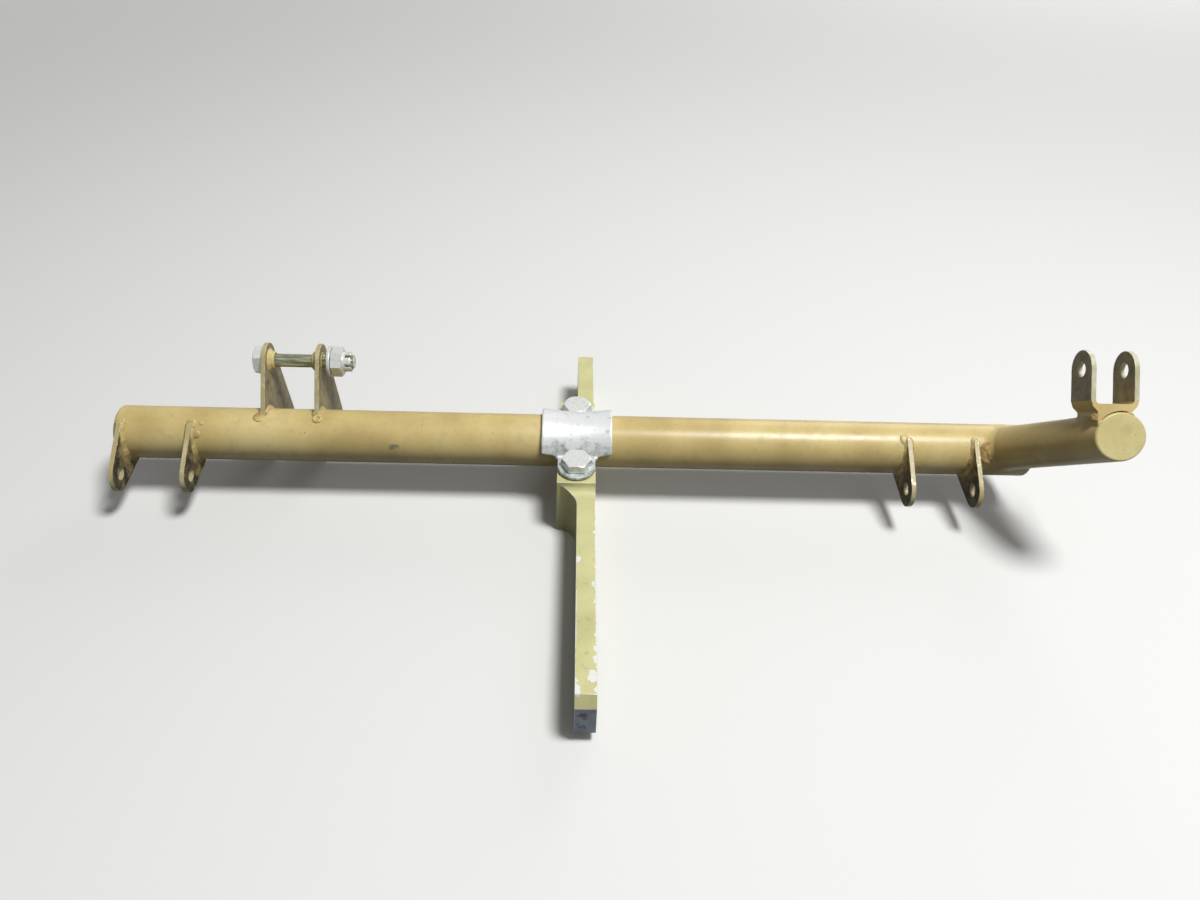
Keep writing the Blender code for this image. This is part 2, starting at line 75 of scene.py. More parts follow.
def makeCamera():
    yaw, roll = radians(viewpoint["shaftYaw"]), radians(viewpoint["shaftRoll"])
    tilt = radians(viewpoint["elevation"])
    along = Vector((cos(yaw) * cos(roll), sin(roll), sin(yaw) * cos(roll)))  # x right, y down, z away
    up = (Vector((0, -1, 0)) + along * along.y).normalized()
    toward = along.cross(up)
    axes = (along, up * sin(tilt) - toward * cos(tilt), up * cos(tilt) + toward * sin(tilt))
    origin = Vector((0, viewpoint["shaftBelowCentre"], viewpoint["distance"]))
    origin -= along * viewpoint["bearingLeft"] + axes[2] * hinge.z
    matrix = Matrix.Identity(4)
    for row, axis in enumerate(axes):
        matrix[row][:] = (axis.x, -axis.y, -axis.z, -axis.dot(origin))
    data = bpy.data.cameras.new("camera")
    data.sensor_fit = "HORIZONTAL"
    data.sensor_width = viewpoint["sensorWidth"]
    data.lens = viewpoint["focalPixels"] / viewpoint["imageWidth"] * viewpoint["sensorWidth"]
    data.clip_start = viewpoint["nearest"]
    camera = bpy.data.objects.new("camera", data)
    camera.matrix_world = matrix
    scene.collection.objects.link(camera)
    scene.camera = camera


makeCamera()
print("camera placed")


# Materials
def toLinear(hexColour):
    channels = [int(hexColour[i:i + 2], 16) / 255 for i in (1, 3, 5)]
    return (*[c / 12.92 if c <= 0.04045 else ((c + 0.055) / 1.055) ** 2.4 for c in channels], 1.0)


def addNode(tree, kind, inputs=None, stops=(), **settings):
    node = tree.nodes.new(kind)
    for name, value in settings.items():
        setattr(node, name, value)
    for name, value in (inputs or {}).items():
        if isinstance(value, bpy.types.Node):
            value = value.outputs[0]
        if isinstance(value, bpy.types.NodeSocket):
            tree.links.new(value, node.inputs[name])
        else:
            node.inputs[name].default_value = toLinear(value) if isinstance(value, str) else value
    for index, (position, colour) in enumerate(stops):
        ramp = node.color_ramp.elements
        stop = ramp[index] if index < 2 else ramp.new(position)
        stop.position, stop.color = position, toLinear(colour)
    return node


def newMaterial(name, values=None):
    material = bpy.data.materials.new(name)
    material.use_nodes = True
    tree = material.node_tree
    shader = tree.nodes["Principled BSDF"]
    for socket, value in (values or {}).items():
        shader.inputs[socket].default_value = value
    place = addNode(tree, "ShaderNodeTexCoord").outputs["Object"]
    return material, tree, shader, place


def laidOver(tree, tone, pattern, start, full, most, colour):
    # a layer of colour: it comes in where the pattern is at start, and is at its most where that is full
    share = {"Value": pattern, "From Min": start, "From Max": full, "To Max": most}
    share = addNode(tree, "ShaderNodeMapRange", share)
    return addNode(tree, "ShaderNodeMix", {0: share, 6: tone, 7: colour}, data_type="RGBA").outputs[2]


spotOutline = {"grain": 1.6 * mm, "detail": 3.0, "roughness": 0.6}


def inSpots(tree, place, spots, rough, grain=None):
    # how far a point lies inside the nearest of some round spots, whose outlines are ragged
    deepest = None
    for middle, radius in spots:
        away = addNode(tree, "ShaderNodeVectorMath", {0: place, 1: middle}, operation="DISTANCE")
        depth = {0: radius, 1: away.outputs["Value"]}
        depth = addNode(tree, "ShaderNodeMath", depth, operation="SUBTRACT")
        if deepest is not None:
            depth = addNode(tree, "ShaderNodeMath", {0: deepest, 1: depth}, operation="MAXIMUM")
        deepest = depth
    ragged = {"Vector": grain or place, "Scale": 1 / spotOutline["grain"]}
    ragged.update({"Detail": spotOutline["detail"], "Roughness": spotOutline["roughness"]})
    ragged = addNode(tree, "ShaderNodeTexNoise", ragged)
    ragged = addNode(tree, "ShaderNodeMath", {0: ragged, 1: 0.5}, operation="SUBTRACT")
    return addNode(tree, "ShaderNodeMath", {0: ragged, 1: rough, 2: deepest}, operation="MULTIPLY_ADD")


# Surfaces that take their tones from one blotchy film
#   film: size of its patches, detail, roughness
#   relief: size of its grain, detail, depth, strength
#   varies: a socket that follows the film, between which of its values, and from what to what
films = {
    # enamel on the crank plates and the clevis: thin grey-green film of old oil, fine cast-like mottle
    "handledEnamel": {
        "shader": {"Roughness": 0.48},
        "film": (3.4 * mm, 6.0, 0.65), "relief": (0.9 * mm, 3.0, 0.06 * mm, 0.5),
        "tones": ((0.35, "#AC9B6E"), (0.5, "#988D69"), (0.65, "#777159")),
    },
    # painted weld: the enamel of the tube over lumpy fused steel, browned by heat and dirt in its hollows
    "weldEnamel": {
        "shader": {"Roughness": 0.42},
        "film": (3 * mm, 5.0, 0.62), "relief": (1.1 * mm, 3.0, 0.07 * mm, 0.5),
        "tones": ((0.4, "#D2BF7D"), (0.54, "#C0AA6F"), (0.7, "#93764B")),
    },
    # painted weld where it got hottest: the same enamel scorched dark brown over coarser lumps
    "scorchedWeldEnamel": {
        "shader": {"Roughness": 0.42},
        "film": (3 * mm, 5.0, 0.62), "relief": (1.1 * mm, 3.0, 0.12 * mm, 0.5),
        "tones": ((0.36, "#CBB070"), (0.5, "#B08F58"), (0.66, "#71573A")),
    },
    # the corners of the plates: steel rubbed pale and broken by what paint is left; their paleness is partly
    # a painted highlight along the edges
    "rubbedArrisWithPaintedHighlight": {
        "shader": {"Roughness": 0.38},
        "film": (2.2 * mm, 4.0, 0.6), "varies": ("Metallic", 0.52, 0.42, 0.0, 0.5),
        "tones": ((0.4, "#D6D4BC"), (0.56, "#B3A67C"), (0.68, "#7F7250")),
    },
    # the arm's machined corners: bright aluminium where the enamel has flaked, broken by what is left of it
    "bareArris": {
        "shader": {"Roughness": 0.36},
        "film": (3.2 * mm, 4.0, 0.6), "varies": ("Metallic", 0.64, 0.56, 0.0, 0.25),
        "tones": ((0.56, "#F0F1EA"), (0.66, "#D3CF9B")),
    },
    # cadmium-plated bolt steel: pale satin grey, a little green where the plating has dulled
    "platedSteel": {
        "shader": {"Metallic": 0.4},
        "film": (2 * mm, 5.0, 0.6), "relief": (0.7 * mm, 2.0, 0.03 * mm, 0.4),
        "varies": ("Roughness", 0.3, 1.0, 0.24, 0.5),
        "tones": ((0.48, "#F0F2EE"), (0.64, "#DDE1D8"), (0.8, "#B5BBAA")),
    },
}


def filmed(name):
    look = films[name]
    material, tree, shader, place = newMaterial(name, look["shader"])
    size, detail, rough = look["film"]
    pattern = {"Vector": place, "Scale": 1 / size, "Detail": detail, "Roughness": rough}
    film = addNode(tree, "ShaderNodeTexNoise", pattern)
    tone = addNode(tree, "ShaderNodeValToRGB", {"Fac": film}, look["tones"])
    tree.links.new(tone.outputs[0], shader.inputs["Base Color"])
    if "varies" in look:
        socket, start, end, least, most = look["varies"]
        share = {"Value": film, "From Min": start, "From Max": end, "To Min": least, "To Max": most}
        share = addNode(tree, "ShaderNodeMapRange", share)
        tree.links.new(share.outputs[0], shader.inputs[socket])
    if "relief" in look:
        size, detail, depth, strength = look["relief"]
        pattern.update({"Scale": 1 / size, "Detail": detail})
        height = addNode(tree, "ShaderNodeTexNoise", pattern)
        bump = addNode(tree, "ShaderNodeBump", {"Height": height, "Distance": depth, "Strength": strength})
        tree.links.new(bump.outputs[0], shader.inputs["Normal"])
    return material


mainTube = {
    "radius": 9.5 * mm, "left": -164.65 * mm, "right": 167.35 * mm,
    "endRound": 1.3 * mm, "endSegments": 4, "sides": 128,
}
bronze = {
    "patch": 20 * mm,   # broad browner and yellower areas of the sprayed coat
    "cloud": 5 * mm,
    "speck": 1.6 * mm,
    "peel": 0.8 * mm,   # orange peel of the spray, drawn about twice its real size
    "peelDepth": 0.05 * mm,
    "tones": ((0.34, "#C3AC70"), (0.5, "#D5BF7F"), (0.66, "#E0CD90")),
    # the end disc's tones: a paler copy of the enamel, painted light on a face that looks towards the light
    "paintedLitDiscTones": ((0.36, "#CDBF80"), (0.62, "#DED29A")),
    "layers": (         # pattern, where its colour starts and is full, how much of it, and the colour
        ("cloud", 0.5, 0.75, 0.4, "#977E55"),
        ("speck", 0.7, 0.76, 0.7, "#55452F"),
        ("speck", 0.27, 0.24, 0.6, "#E4DAB0"),
    ),
    "glossy": 0.29, "dull": 0.5,
    # a grease mark: place along the shaft, degrees above its front, radius
    "greasy": ((-66.4 * mm, 14, 1.1 * mm), (-64.9 * mm, 17, 1.3 * mm), (-55.2 * mm, 9, 0.6 * mm)),
    "grease": (0, 0.9 * mm, 0.75, "#667267"), "greaseRough": 4 * mm,
}


def onShaft(x, elevation):
    # a spot on the main tube's skin, so many degrees above level on its front
    turn = radians(elevation)
    return hinge + Vector((x, -cos(turn) * mainTube["radius"], sin(turn) * mainTube["radius"]))


def bronzeEnamel(name, tones):
    # satin enamel sprayed over welded steel: soft shine, slight orange peel, brown mottling, dark specks
    material, tree, shader, place = newMaterial(name)
    patterns = {}
    for kind, detail in (("patch", 5.0), ("cloud", 4.0), ("speck", 2.0), ("peel", 2.0)):
        pattern = {"Vector": place, "Scale": 1 / bronze[kind], "Detail": detail, "Roughness": 0.6}
        patterns[kind] = addNode(tree, "ShaderNodeTexNoise", pattern)
    tone = addNode(tree, "ShaderNodeValToRGB", {"Fac": patterns["patch"]}, tones)
    for kind, *layer in bronze["layers"]:
        tone = laidOver(tree, tone, patterns[kind], *layer)
    spots = [(onShaft(x, elevation), radius) for x, elevation, radius in bronze["greasy"]]
    grease = inSpots(tree, place, spots, bronze["greaseRough"])
    tone = laidOver(tree, tone, grease, *bronze["grease"])
    tree.links.new(tone, shader.inputs["Base Color"])
    dull = {"Value": patterns["cloud"], "From Min": 0.3, "To Min": bronze["glossy"], "To Max": bronze["dull"]}
    dull = addNode(tree, "ShaderNodeMapRange", dull)
    tree.links.new(dull.outputs[0], shader.inputs["Roughness"])
    bump = {"Height": patterns["peel"], "Distance": bronze["peelDepth"], "Strength": 0.4}
    bump = addNode(tree, "ShaderNodeBump", bump)
    tree.links.new(bump.outputs[0], shader.inputs["Normal"])
    return material


grimeAndShade = {
    "patch": 3.2 * mm, "rub": 1.5 * mm, "rubDepth": 0.08 * mm,
    # the dark tones stand for oily dirt and also for painted shade on the lugs' side faces
    "tones": ((0.36, "#AE9A66"), (0.48, "#776A4B"), (0.61, "#3B392D")),
    "rubbed": (0.58, 0.7, 0.5, "#A59A74"),
    "near": 10 * mm, "far": 17 * mm,        # out from the shaft's axis
    "nearShift": -0.13, "farShift": 0.07,   # along the tones
    "wet": 0.34, "dry": 0.58,
}


def grimedAndShadedEnamel():
    # the same enamel on the flat faces of the lugs: oily dirt has darkened it round the pin holes, and its
    # darker tones all over these side faces are painted shade
    material, tree, shader, place = newMaterial("grimedAndShadedEnamel")
    pattern = {"Vector": place, "Scale": 1 / grimeAndShade["patch"], "Detail": 6.0, "Roughness": 0.65}
    film = addNode(tree, "ShaderNodeTexNoise", pattern)
    fromAxis = {"Vector": place, "Scale": (0, 1, 1), "Location": (0, 0, -hinge.z)}
    fromAxis = addNode(tree, "ShaderNodeMapping", fromAxis)
    fromAxis = addNode(tree, "ShaderNodeVectorMath", {0: fromAxis}, operation="LENGTH").outputs["Value"]
    outward = {"Value": fromAxis, "From Min": grimeAndShade["near"], "From Max": grimeAndShade["far"]}
    outward.update({"To Min": grimeAndShade["nearShift"], "To Max": grimeAndShade["farShift"]})
    outward = addNode(tree, "ShaderNodeMapRange", outward)
    film = addNode(tree, "ShaderNodeMath", {0: film, 1: outward}, operation="ADD")
    tone = addNode(tree, "ShaderNodeValToRGB", {"Fac": film}, grimeAndShade["tones"])
    pattern.update({"Scale": 1 / grimeAndShade["rub"], "Detail": 3.0})
    rubbed = addNode(tree, "ShaderNodeTexNoise", pattern)
    tone = laidOver(tree, tone, rubbed, *grimeAndShade["rubbed"])
    tree.links.new(tone, shader.inputs["Base Color"])
    wet = {"Value": film, "From Min": 0.3, "To Min": grimeAndShade["dry"], "To Max": grimeAndShade["wet"]}
    wet = addNode(tree, "ShaderNodeMapRange", wet)
    tree.links.new(wet.outputs[0], shader.inputs["Roughness"])
    bump = addNode(tree, "ShaderNodeBump", {"Height": rubbed, "Distance": grimeAndShade["rubDepth"], "Strength": 0.5})
    tree.links.new(bump.outputs[0], shader.inputs["Normal"])
    return material


sawnEdge = {
    "patch": 4 * mm, "rub": 1.8 * mm, "rubDepth": 0.05 * mm,
    "thinTones": ((0.38, "#BBA872"), (0.52, "#B9AC80"), (0.66, "#CDC298")),
    "wornTones": ((0.36, "#BDB48C"), (0.5, "#C4C2A4"), (0.64, "#D9D8C4")),
    "steel": "#DCDCCB", "steelShare": 0.6,
}


def edgeEnamel(name, tones):
    # the sawn edges of the plates: thin tan paint gone grey, rubbed through to pale steel in patches
    material, tree, shader, place = newMaterial(name, {"Roughness": 0.42})
    pattern = {"Vector": place, "Scale": 1 / sawnEdge["patch"], "Detail": 5.0, "Roughness": 0.65}
    thin = addNode(tree, "ShaderNodeTexNoise", pattern)
    tone = addNode(tree, "ShaderNodeValToRGB", {"Fac": thin}, tones)
    pattern.update({"Scale": 1 / sawnEdge["rub"], "Detail": 4.0})
    rub = addNode(tree, "ShaderNodeTexNoise", pattern)
    bare = {"Value": rub, "From Min": 0.6, "From Max": 0.68, "To Max": sawnEdge["steelShare"]}
    bare = addNode(tree, "ShaderNodeMapRange", bare)
    tone = addNode(tree, "ShaderNodeMix", {0: bare, 6: tone, 7: sawnEdge["steel"]}, data_type="RGBA")
    tree.links.new(tone.outputs[2], shader.inputs["Base Color"])
    tree.links.new(bare.outputs[0], shader.inputs["Metallic"])
    bump = addNode(tree, "ShaderNodeBump", {"Height": rub, "Distance": sawnEdge["rubDepth"], "Strength": 0.4})
    tree.links.new(bump.outputs[0], shader.inputs["Normal"])
    return material


arm = {
    "right": 6.8 * mm, "webLeft": 0.3 * mm, "top": hinge.z - 3.5 * mm,
    "boss": -23.5 * mm, "chamfer": -110 * mm, "tip": -112.5 * mm,
    "tipDepth": 1 * mm, "tipFacing": 0.95,        # what counts as the sawn end
    "cornerRound": 0.42 * mm, "cornerFrom": 24,   # degrees
}
olive = {
    "patch": 16 * mm, "soil": 3.5 * mm, "grain": 0.9 * mm, "depth": 0.08 * mm,
    "tones": ((0.36, "#C3BF87"), (0.62, "#D3D098")),
    "soiled": (0.58, 0.78, 0.45, "#948D62"),
    "bare": "#EDEEEA", "bareMetallic": 0.35, "bareEdge": 0.06 * mm,
    "chipStretch": 1.5, "chipRough": 3.2 * mm,     # chips are longer along the arm than across it
    "arrisStretch": 130, "arrisRough": 1.2 * mm,   # long corners that are bare for most of their length
    "arrises": (
        ("right", -67 * mm, 0.36 * mm), ("webLeft", -84 * mm, 0.24 * mm), ("right", 44 * mm, 0.42 * mm),
    ),
}
# Chips on the top's corners: share of the way from boss to chamfer, side, how far in, radius
chips = (
    (0.247, "right", 0.5 * mm, 0.6 * mm), (0.384, "webLeft", 0.6 * mm, 1.0 * mm),
    (0.516, "right", 0.8 * mm, 0.75 * mm), (0.592, "right", 0.2 * mm, 0.6 * mm),
    (0.750, "right", 0.2 * mm, 0.7 * mm), (0.810, "right", 0.1 * mm, 0.9 * mm),
    (0.860, "right", 0.1 * mm, 0.95 * mm), (0.928, "right", 1.2 * mm, 1.5 * mm),
    (0.945, "webLeft", 0.2 * mm, 0.7 * mm), (0.985, "webLeft", 0.7 * mm, 1.25 * mm),
    (0.985, "right", 0.0 * mm, 0.8 * mm), (1.035, "right", 0.0 * mm, 0.8 * mm),
)


def bareShare(tree, place):
    # 1 where the arm's enamel is gone: the chips and the two kinds of bare corner
    spots = []
    for share, side, inward, radius in chips:
        x = arm[side] + (inward if side == "webLeft" else -inward)
        spots.append((x, arm["boss"] + (arm["chamfer"] - arm["boss"]) * share, radius))
    lines = [(arm[side], y, radius) for side, y, radius in olive["arrises"]]
    bare = []
    for kind, group in (("chip", spots), ("arris", lines)):
        stretch = olive[kind + "Stretch"]
        squeezed = addNode(tree, "ShaderNodeMapping", {"Vector": place, "Scale": (1, 1 / stretch, 1)})
        group = [(Vector((x, y / stretch, arm["top"])), radius) for x, y, radius in group]
        bare.append(inSpots(tree, squeezed, group, olive[kind + "Rough"], grain=place))
    bare = addNode(tree, "ShaderNodeMath", {0: bare[0], 1: bare[1]}, operation="MAXIMUM")
    return addNode(tree, "ShaderNodeMapRange", {"Value": bare, "From Max": olive["bareEdge"]})


def oliveEnamel():
    # brushed khaki enamel on machined aluminium: even and satin, chipped to bright metal towards the tip
    material, tree, shader, place = newMaterial("oliveEnamel", {"Roughness": 0.46})
    chip = bareShare(tree, place)
    pattern = {"Vector": place, "Scale": 1 / olive["patch"], "Detail": 5.0, "Roughness": 0.55}
    broad = addNode(tree, "ShaderNodeTexNoise", pattern)
    tone = addNode(tree, "ShaderNodeValToRGB", {"Fac": broad}, olive["tones"])
    pattern.update({"Scale": 1 / olive["soil"], "Detail": 6.0})
    soil = addNode(tree, "ShaderNodeTexNoise", pattern)
    tone = laidOver(tree, tone, soil, *olive["soiled"])
    tone = addNode(tree, "ShaderNodeMix", {0: chip, 6: tone, 7: olive["bare"]}, data_type="RGBA")
    tree.links.new(tone.outputs[2], shader.inputs["Base Color"])
    metal = addNode(tree, "ShaderNodeMath", {0: chip, 1: olive["bareMetallic"]}, operation="MULTIPLY")
    tree.links.new(metal.outputs[0], shader.inputs["Metallic"])
    pattern.update({"Scale": 1 / olive["grain"], "Detail": 2.0})
    grain = addNode(tree, "ShaderNodeTexNoise", pattern)
    sunk = addNode(tree, "ShaderNodeMath", {0: chip, 1: -1.0}, operation="MULTIPLY")
    height = addNode(tree, "ShaderNodeMath", {0: grain, 1: 0.3, 2: sunk}, operation="MULTIPLY_ADD")
    bump = addNode(tree, "ShaderNodeBump", {"Height": height, "Distance": olive["depth"], "Strength": 0.5})
    tree.links.new(bump.outputs[0], shader.inputs["Normal"])
    return material


sawnEnd = {
    # bluish grey tones: painted reflection of a blue surface on bare aluminium
    "patch": 3 * mm, "tones": ((0.36, "#8690A0"), (0.64, "#A3AAB6")),
    "stains": ((2.9 * mm, 12.4 * mm, 1.5 * mm), (2.7 * mm, 7.2 * mm, 1.4 * mm)),   # x, z, radius
    "stain": (0, 0.9 * mm, 0.85, "#6B4B3E"), "stainRough": 7 * mm,
    "teeth": 1.2 * mm, "teethDepth": 0.03 * mm,
}


def stainedAluminium():
    # the sawn end of the arm: dull aluminium with faint saw marks and brown stains; its bluish grey is a
    # painted reflection of a blue surface
    material, tree, shader, place = newMaterial("stainedAluminium", {"Roughness": 0.5, "Metallic": 0.3})
    pattern = {"Vector": place, "Scale": 1 / sawnEnd["patch"], "Detail": 4.0, "Roughness": 0.55}
    film = addNode(tree, "ShaderNodeTexNoise", pattern)
    tone = addNode(tree, "ShaderNodeValToRGB", {"Fac": film}, sawnEnd["tones"])
    spots = [(Vector((x, arm["tip"], z)), radius) for x, z, radius in sawnEnd["stains"]]
    stain = inSpots(tree, place, spots, sawnEnd["stainRough"])
    tone = laidOver(tree, tone, stain, *sawnEnd["stain"])
    tree.links.new(tone, shader.inputs["Base Color"])
    saw = {"Vector": place, "Scale": 1 / sawnEnd["teeth"], "Distortion": 1.5}
    saw = addNode(tree, "ShaderNodeTexWave", saw, bands_direction="Z")
    bump = {"Height": saw, "Distance": sawnEnd["teethDepth"], "Strength": 0.3}
    bump = addNode(tree, "ShaderNodeBump", bump)
    tree.links.new(bump.outputs[0], shader.inputs["Normal"])
    return material


casting = {
    "patch": 2.6 * mm, "pits": 1.3 * mm, "pitDepth": 0.1 * mm,
    "tones": ((0.54, "#EEF0F0"), (0.68, "#C4CBC7"), (0.86, "#7B8379")),
    "undarkenedFrom": 8.5 * mm, "darkestAt": 0.5 * mm, "lowDarkening": 0.2,   # above the cap's parting face
    "glossy": 0.32, "dull": 0.62,
}


def castSilver():
    # bright plated casting: near-white satin shine, shallow pits, and a greyer, darker tone towards the
    # bottom by the ears
    material, tree, shader, place = newMaterial("castSilver", {"Metallic": 0.25})
    axes = addNode(tree, "ShaderNodeSeparateXYZ", {0: place})
    # the tone goes greyer and darker from this height down to the parting face
    undarkenedLevel, darkestLevel = hinge.z + casting["undarkenedFrom"], hinge.z + casting["darkestAt"]
    low = {"Value": axes.outputs["Z"], "From Min": undarkenedLevel, "From Max": darkestLevel, "To Max": casting["lowDarkening"]}
    low = addNode(tree, "ShaderNodeMapRange", low)
    pattern = {"Vector": place, "Scale": 1 / casting["patch"], "Detail": 6.0, "Roughness": 0.65}
    film = addNode(tree, "ShaderNodeTexNoise", pattern)
    lowDarkening = addNode(tree, "ShaderNodeMath", {0: film, 1: low}, operation="ADD")
    tone = addNode(tree, "ShaderNodeValToRGB", {"Fac": lowDarkening}, casting["tones"])
    tree.links.new(tone.outputs[0], shader.inputs["Base Color"])
    dull = {"Value": lowDarkening, "From Min": 0.4, "To Min": casting["glossy"], "To Max": casting["dull"]}
    dull = addNode(tree, "ShaderNodeMapRange", dull)
    tree.links.new(dull.outputs[0], shader.inputs["Roughness"])
    pattern.update({"Scale": 1 / casting["pits"], "Detail": 3.0})
    pits = addNode(tree, "ShaderNodeTexNoise", pattern)
    bump = addNode(tree, "ShaderNodeBump", {"Height": pits, "Distance": casting["pitDepth"], "Strength": 0.4})
    tree.links.new(bump.outputs[0], shader.inputs["Normal"])
    return material


shank = {
    "rub": 0.9 * mm, "lengthwise": 0.12, "rubDepth": 0.02 * mm,
    "tones": ((0.38, "#D6D8BC"), (0.52, "#A5A98A"), (0.68, "#696D52")),
}


def dulledSteel():
    # the bolt's bare shank: the plating has gone greenish grey under old oil, with fine lengthwise rubbing
    material, tree, shader, place = newMaterial("dulledSteel", {"Roughness": 0.26, "Metallic": 0.75})
    stretch = {"Vector": place, "Scale": (shank["lengthwise"], 1.0, 1.0)}
    stretch = addNode(tree, "ShaderNodeMapping", stretch)
    pattern = {"Vector": stretch, "Scale": 1 / shank["rub"], "Detail": 4.0, "Roughness": 0.6}
    rub = addNode(tree, "ShaderNodeTexNoise", pattern)
    tone = addNode(tree, "ShaderNodeValToRGB", {"Fac": rub}, shank["tones"])
    tree.links.new(tone.outputs[0], shader.inputs["Base Color"])
    bump = addNode(tree, "ShaderNodeBump", {"Height": rub, "Distance": shank["rubDepth"], "Strength": 0.4})
    tree.links.new(bump.outputs[0], shader.inputs["Normal"])
    return material


finishes = {
    "enamel": bronzeEnamel("bronzeEnamel", bronze["tones"]),
    # paler enamel for the side tube's end disc: painted light
    "paintedLitDisc": bronzeEnamel("paintedLightBronzeEnamel", bronze["paintedLitDiscTones"]),
    "grimedAndShaded": grimedAndShadedEnamel(),
    "handled": filmed("handledEnamel"),
    "thinEdge": edgeEnamel("thinEdgeEnamel", sawnEdge["thinTones"]),
    "wornEdge": edgeEnamel("wornEdgeEnamel", sawnEdge["wornTones"]),
    # corners of the sheet fittings: rubbed steel, paler as a painted highlight
    "rubbed": filmed("rubbedArrisWithPaintedHighlight"),
    "weld": filmed("weldEnamel"),
    "scorched": filmed("scorchedWeldEnamel"),
    "olive": oliveEnamel(),
    "bareArris": filmed("bareArris"),
    "stained": stainedAluminium(),
    "silver": castSilver(),
    "plated": filmed("platedSteel"),
    "dulled": dulledSteel(),
}
print("materials made:", len(finishes))


# Shared modelling steps
sameSpot = 0.001 * mm
sameCorner = 0.002 * mm
flatWithin = 1   # degrees


def asObject(bm, name):
    mesh = bpy.data.meshes.new(name)
    bm.to_mesh(mesh)
    bm.free()
    made = bpy.data.objects.new(name, mesh)
    scene.collection.objects.link(made)
    return made


def fromMesh(bm, name, body, kinds, smoothBelow=32, weighted=True):
    piece = asObject(bm, name)
    for kind in kinds:
        piece.data.materials.append(finishes[kind])
    piece.data.shade_smooth()
    piece.data.set_sharp_from_angle(angle=radians(smoothBelow))
    if weighted:
        normals = piece.modifiers.new("flat faces stay flat", "WEIGHTED_NORMAL")
        normals.keep_sharp = True
        normals.weight = 100
    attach(piece, body)
    return piece


def applied(*objects):
    # a bmesh of the first object as its modifiers leave it; all of them are then removed
    bpy.context.view_layer.update()
    made = objects[0].evaluated_get(bpy.context.evaluated_depsgraph_get())
    bm = bmesh.new()
    bm.from_mesh(bpy.data.meshes.new_from_object(made))
    for obj in objects:
        bpy.data.objects.remove(obj)
    return bm


def mergedCopy(node):
    bm = bmesh.new()
    bm.from_mesh(frame["nodes"][node].data)
    bmesh.ops.remove_doubles(bm, verts=bm.verts, dist=sameCorner)
    bmesh.ops.dissolve_limit(bm, angle_limit=radians(flatWithin), verts=bm.verts, edges=bm.edges)
    return bm


def easeEdges(bm, width, segments=2, sharperThan=40):
    sharp = [e for e in bm.edges if e.is_manifold and e.calc_face_angle() > radians(sharperThan)]
    return bmesh.ops.bevel(
        bm, geom=sharp, offset=width, offset_type="OFFSET", affect="EDGES", segments=segments,
        profile=0.5, material=-1, clamp_overlap=True,
    )["faces"]


def spinRound(bm, geometry, steps):
    # one full turn about Z, closed on itself
    bmesh.ops.spin(
        bm, geom=geometry, cent=(0, 0, 0), axis=(0, 0, 1), angle=2 * pi, steps=steps,
        use_merge=True, use_normal_flip=False, use_duplicate=False,
    )
    bmesh.ops.remove_doubles(bm, verts=bm.verts, dist=sameSpot)
    bmesh.ops.recalc_face_normals(bm, faces=bm.faces)


def bridgeRings(bm, rings, closed):
    # joins rings of edges one after the other into a closed skin
    pairs = list(zip(rings, rings[1:]))
    if closed:
        pairs.append((rings[-1], rings[0]))
    else:
        for end in (rings[0], rings[-1]):
            bmesh.ops.contextual_create(bm, geom=end)
    for here, after in pairs:
        bmesh.ops.bridge_loops(bm, edges=here + after)
    bmesh.ops.recalc_face_normals(bm, faces=bm.faces)


# Tubes
sideTube = {
    "radius": 7.92 * mm,
    "rootX": 155.45 * mm,
    "splay": 18.7,      # degrees outboard of square to the shaft
    "rise": 4.6,        # degrees above the shaft's front
    "reach": 53.7 * mm,
    "blank": 80.55 * mm,   # its length before it is cut to the reach
    "endRound": 0.7 * mm, "endSegments": 4, "endFrom": 55,
    "paintedLightFacing": 0.9,
    "sides": 96,
}
sideRoot = Vector((sideTube["rootX"], 0, 0))


def roundBar(tube, length):
    bm = bmesh.new()
    bmesh.ops.create_cone(
        bm, segments=tube["sides"], radius1=tube["radius"], radius2=tube["radius"],
        depth=length, cap_ends=True,
    )
    return bm


def makeMainTube():
    bm = roundBar(mainTube, mainTube["right"] - mainTube["left"])
    easeEdges(bm, mainTube["endRound"], mainTube["endSegments"])
    middle = (mainTube["right"] + mainTube["left"]) / 2
    place = Matrix.Translation(hinge + Vector((middle, 0, 0))) @ Matrix.Rotation(pi / 2, 4, "Y")
    bmesh.ops.transform(bm, matrix=place, verts=bm.verts)
    piece = fromMesh(bm, "jackshaftTube", "shaft", ["enamel"])
    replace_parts(piece, "main_tube", "left_end_disc", "right_end_disc")


def sideDirection():
    splay, rise = radians(sideTube["splay"]), radians(sideTube["rise"])
    return Vector((sin(splay) * cos(rise), -cos(splay) * cos(rise), sin(rise)))


